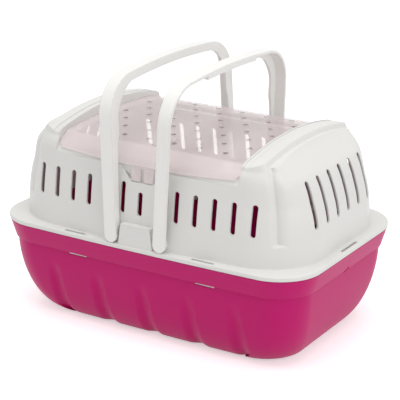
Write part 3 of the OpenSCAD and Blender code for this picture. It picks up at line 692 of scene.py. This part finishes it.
def lid():
    plate = [(x, y + PLATE_Y) for x, y in PLATE_OUTLINE]
    raised = common(prism(plate, "z", *(PART_Z + z for z in PLATE_CUT)),
                    lid_band(PLATE_LIFT, LID_WALL / 2, LID_HX / 2))
    sheet = cut(lid_band(0, LID_WALL, LID_HX), lid_corners(), front_trim())
    body = joined(sheet, latch_tab(), tab_plate(), raised, hinge_rod(BEAD_R, LID_HX),
                  hinge_rod(LID_PIN_R, LID_HX + LID_PIN_LENGTH))
    slit = box((-TAB_SLIT / 2, -ROOM_HY, PART_Z + SLIT_Z[0]), (TAB_SLIT / 2, SLIT_Y, PART_Z + SLIT_Z[1]))
    return cut(body, slit, lid_vents())


# Handles, each drawn upright in its own frame with its pivot at the origin
HANDLE_HY = 127.6
HANDLE_RISE = 177.2
BAND_WIDTH = 15.4
BAND_WALL = 3.0
LEG_TAPER = 3.2
BAR_ARCH = 3.7
CORNER_R = 44.0
BAR_DEPTH = 9.5
GRIP_HALF = 51.0
GRIP_DEPTH = 7.4
GRIP_END_DROP = 1.2
GRIP_TOP = 0.6
GRIP_INSET = 0.2
PIN_INTO_BAND = 1.0
REST_LEAN = 2.5
PIN_TIP = 108.0
CORNER_Y = HANDLE_HY - LEG_TAPER - CORNER_R
CORNER_Z = HANDLE_RISE - BAR_ARCH - CORNER_R
PLATE_CORNER_R = 29.6
PLATE_CORNER_FILL = 2.2
PLATE_Z = [5.5, 12, 26, 52, 81, 99, 111]
PLATE_DEPTH = [3, 8.4, 8.6, 9.2, 10.3, 11.6, 14.4]


def bar_line(lower):
    y = np.linspace(CORNER_Y, 0, 14)
    return [(a, HANDLE_RISE - lower - BAR_ARCH * (a / CORNER_Y) ** 2) for a in y]


def arc_line(r, top_r=None, fill=0.0):
    """Corner whose radius goes over into another one, tighter at its middle by the fill."""
    steps = np.linspace(0, 1, 28)
    radius = r + ((top_r or r) - r) * steps ** 2 - fill * np.sin(math.pi * steps) ** 2
    turn = steps * math.pi / 2
    return [(CORNER_Y + a * math.cos(t), CORNER_Z + a * math.sin(t)) for a, t in zip(radius, turn)]


def handle_half(inset):
    return [(HANDLE_HY - inset, 0)] + arc_line(CORNER_R - inset) + bar_line(inset)[1:]


def plate_half():
    z = np.linspace(PLATE_Z[0], PLATE_Z[-1], 40)
    depth = smooth_values(PLATE_Z, PLATE_DEPTH, z)
    leg = [(HANDLE_HY - LEG_TAPER * a / CORNER_Z - b, a) for a, b in zip(z, depth)]
    corner = arc_line(PLATE_CORNER_R, CORNER_R - BAR_DEPTH, PLATE_CORNER_FILL)
    return [(HANDLE_HY - BAND_WALL, 0)] + leg + corner + bar_line(BAR_DEPTH)[1:]


def whole_bail(outer, inner):
    half = outer + inner[::-1]
    return half[:len(outer)] + [(-y, z) for y, z in outer[::-1][1:]] + \
        [(-y, z) for y, z in inner] + [(y, z) for y, z in inner[::-1][1:]]


def handle(side):
    """A bail with its side plate towards the other handle; side is 1 on the right."""
    half = BAND_WIDTH / 2
    band = prism(whole_bail(handle_half(0), handle_half(BAND_WALL)), "x", -half, half)
    plate = prism(whole_bail(handle_half(0), plate_half()), "x", -half, -half + BAND_WALL)
    y = np.linspace(-GRIP_HALF, GRIP_HALF, 25)
    sag = BAR_ARCH * (y / CORNER_Y) ** 2
    top = [(a, HANDLE_RISE - GRIP_TOP - b) for a, b in zip(y, sag)]
    low = [(a, HANDLE_RISE - GRIP_DEPTH - GRIP_END_DROP * (a / GRIP_HALF) ** 2) for a in y]
    grip = prism(top + low[::-1], "x", -half + GRIP_INSET, half - GRIP_INSET)
    lower_half = [(x, z) for x, z in circle((0, 0), half) if z <= 1e-6]
    feet = prism(lower_half, "y", -HANDLE_HY, -HANDLE_HY + BAND_WALL)
    pin = prism(circle((0, 0), PIVOT_PIN_R), "y", -HANDLE_HY + PIN_INTO_BAND, -PIN_TIP)
    body = joined(band, plate, grip, both_sides(feet), both_sides(pin))
    lean = Matrix.Rotation(math.radians(REST_LEAN), 4, "Y")
    body.transform(Matrix.Translation((PIVOT_X, 0, PART_Z + PIVOT_Z)) @ lean)
    if side < 0:
        body.transform(Matrix.Scale(-1, 4, (1, 0, 0)))
        body.flip_normals()
    return body


# Materials
GLOSS_SCALE = 9
GLOSS_SPREAD = 0.05
GRAIN_SCALE = 900
GRAIN_STRENGTH = 0.25


def srgb(r, g, b):
    return tuple(c / 12.92 / 255 if c <= 10 else ((c / 255 + 0.055) / 1.055) ** 2.4 for c in (r, g, b))


def plastic(name, colour, rough, edge, grain=0.00008, alpha=1.0, sheen=0.5):
    """Moulded plastic: fine grain, slow changes of gloss, and edges rounded by the bevel node."""
    mat = bpy.data.materials.new(name)
    mat.use_nodes = True
    nodes, links = mat.node_tree.nodes, mat.node_tree.links
    shader = nodes["Principled BSDF"]
    shader.inputs["Base Color"].default_value = (*colour, 1)
    shader.inputs["Alpha"].default_value = alpha
    shader.inputs["Specular IOR Level"].default_value = sheen
    place = nodes.new("ShaderNodeTexCoord")
    slow = nodes.new("ShaderNodeTexNoise")
    slow.inputs["Scale"].default_value = GLOSS_SCALE
    slow.inputs["Detail"].default_value = 3
    gloss = nodes.new("ShaderNodeMapRange")
    gloss.inputs["To Min"].default_value = rough - GLOSS_SPREAD
    gloss.inputs["To Max"].default_value = rough + GLOSS_SPREAD
    fine = nodes.new("ShaderNodeTexNoise")
    fine.inputs["Scale"].default_value = GRAIN_SCALE
    bump = nodes.new("ShaderNodeBump")
    bump.inputs["Strength"].default_value = GRAIN_STRENGTH
    bump.inputs["Distance"].default_value = grain
    soft = nodes.new("ShaderNodeBevel")
    soft.samples = 6
    soft.inputs["Radius"].default_value = edge * MM
    for source, out, target, into in (
            (place, "Object", slow, "Vector"), (place, "Object", fine, "Vector"),
            (slow, "Fac", gloss, "Value"), (gloss, "Result", shader, "Roughness"),
            (fine, "Fac", bump, "Height"), (soft, "Normal", bump, "Normal"),
            (bump, "Normal", shader, "Normal")):
        links.new(source.outputs[out], target.inputs[into])
    return mat


PINK = plastic("tub_pink", srgb(192, 14, 106), 0.42, 1.0, sheen=0.2)
WHITE = plastic("shell_white", srgb(228, 227, 224), 0.42, 1.3)
HANDLE = plastic("handle_white", srgb(243, 242, 239), 0.4, 1.1)
CLEAR = plastic("lid_clear", srgb(250, 238, 238), 0.15, 0.8, grain=0.00002, alpha=0.46)
FLAT_ANGLE = math.radians(34)


def piece(name, mesh, node, body, mat):
    mesh.transform(Matrix.Scale(MM, 4))
    mesh.name = name
    mesh.materials.clear()
    mesh.materials.append(mat)
    mesh.shade_smooth()
    mesh.set_sharp_from_angle(angle=FLAT_ANGLE)
    obj = bpy.data.objects.new(name, mesh)
    scene.collection.objects.link(obj)
    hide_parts(node)
    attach(obj, body)
    return obj


piece("tub_body", base_tub(), "base_tub", "carrier", PINK)
piece("shell_body", top_shell(), "top_shell", "carrier", WHITE)
piece("lid_sheet", lid(), "lid", "lid", CLEAR)
piece("bail_left", handle(-1), "handle_left", "handle_left", HANDLE)
piece("bail_right", handle(1), "handle_right", "handle_right", HANDLE)

# Camera
CAMERA_PLACE = Vector((851.56, -1345.16, 579.49 + PART_Z)) * MM
CAMERA_AZIMUTH = math.radians(32.22)
CAMERA_ELEVATION = math.radians(19.3)
camera_data = bpy.data.cameras.new("camera")
camera_data.lens = 132.63
camera_data.sensor_width = 36
camera = bpy.data.objects.new("camera", camera_data)
scene.collection.objects.link(camera)
camera.location = CAMERA_PLACE
back = Vector((math.sin(CAMERA_AZIMUTH) * math.cos(CAMERA_ELEVATION),
               -math.cos(CAMERA_AZIMUTH) * math.cos(CAMERA_ELEVATION),
               math.sin(CAMERA_ELEVATION)))
camera.rotation_mode = "QUATERNION"
camera.rotation_quaternion = (-back).to_track_quat("-Z", "Y")
scene.camera = camera

# Floor, world and lamps
scene.view_settings.view_transform = "Standard"
WORLD_STRENGTH = 0.6


def white_to_sight(tree, plain, seen, target):
    """Show one shader to the camera, to mirrors and through glass, and the other one to the rest."""
    path = tree.nodes.new("ShaderNodeLightPath")
    mix = tree.nodes.new("ShaderNodeMixShader")
    first = tree.nodes.new("ShaderNodeMath")
    second = tree.nodes.new("ShaderNodeMath")
    for node in (first, second):
        node.operation = "MAXIMUM"
    tree.links.new(path.outputs["Is Camera Ray"], first.inputs[0])
    tree.links.new(path.outputs["Is Transmission Ray"], first.inputs[1])
    tree.links.new(first.outputs[0], second.inputs[0])
    tree.links.new(path.outputs["Is Glossy Ray"], second.inputs[1])
    tree.links.new(second.outputs[0], mix.inputs["Fac"])
    tree.links.new(plain.outputs[0], mix.inputs[1])
    tree.links.new(seen.outputs[0], mix.inputs[2])
    tree.links.new(mix.outputs[0], target)


world = bpy.data.worlds.new("world")
scene.world = world
world.use_nodes = True
world_tree = world.node_tree
world_tree.nodes.clear()
world_out = world_tree.nodes.new("ShaderNodeOutputWorld")
lit = world_tree.nodes.new("ShaderNodeBackground")
lit.inputs["Strength"].default_value = WORLD_STRENGTH
seen_world = world_tree.nodes.new("ShaderNodeBackground")
seen_world.inputs["Color"].default_value = (1, 1, 1, 1)
white_to_sight(world_tree, lit, seen_world, world_out.inputs["Surface"])


def lamp(name, place, target, size, energy):
    data = bpy.data.lights.new(name, "AREA")
    data.size = size
    data.energy = energy
    obj = bpy.data.objects.new(name, data)
    scene.collection.objects.link(obj)
    obj.location = place
    obj.rotation_mode = "QUATERNION"
    obj.rotation_quaternion = (Vector(target) - Vector(place)).to_track_quat("-Z", "Y")


lamp("top", (0.1, -0.2, 1.8), (0, 0, 0.1), 1.6, 17)
lamp("left", (-1.6, -1.3, 1.0), (0, 0, 0.15), 1.2, 3)
lamp("right", (1.9, -0.5, 0.8), (0, 0, 0.15), 1.2, 8)

FLOOR_REACH = 8.0
FLOOR_GLOW = 0.5
floor_mesh = bpy.data.meshes.new("floor")
floor_mesh.from_pydata([(-FLOOR_REACH, -FLOOR_REACH, 0), (FLOOR_REACH, -FLOOR_REACH, 0),
                        (FLOOR_REACH, FLOOR_REACH, 0), (-FLOOR_REACH, FLOOR_REACH, 0)], [], [(0, 1, 2, 3)])
floor = bpy.data.objects.new("floor", floor_mesh)
scene.collection.objects.link(floor)
floor.location.z = -0.0005
floor_mat = bpy.data.materials.new("floor")
floor_mat.use_nodes = True
floor_tree = floor_mat.node_tree
floor_plain = floor_tree.nodes["Principled BSDF"]
floor_plain.inputs["Base Color"].default_value = (0.9, 0.9, 0.9, 1)
floor_plain.inputs["Roughness"].default_value = 0.9
floor_glow = floor_tree.nodes.new("ShaderNodeEmission")
floor_glow.inputs["Strength"].default_value = FLOOR_GLOW
floor_seen = floor_tree.nodes.new("ShaderNodeAddShader")
floor_tree.links.new(floor_plain.outputs[0], floor_seen.inputs[0])
floor_tree.links.new(floor_glow.outputs[0], floor_seen.inputs[1])
white_to_sight(floor_tree, floor_plain, floor_seen, floor_tree.nodes["Material Output"].inputs["Surface"])
floor_mesh.materials.append(floor_mat)
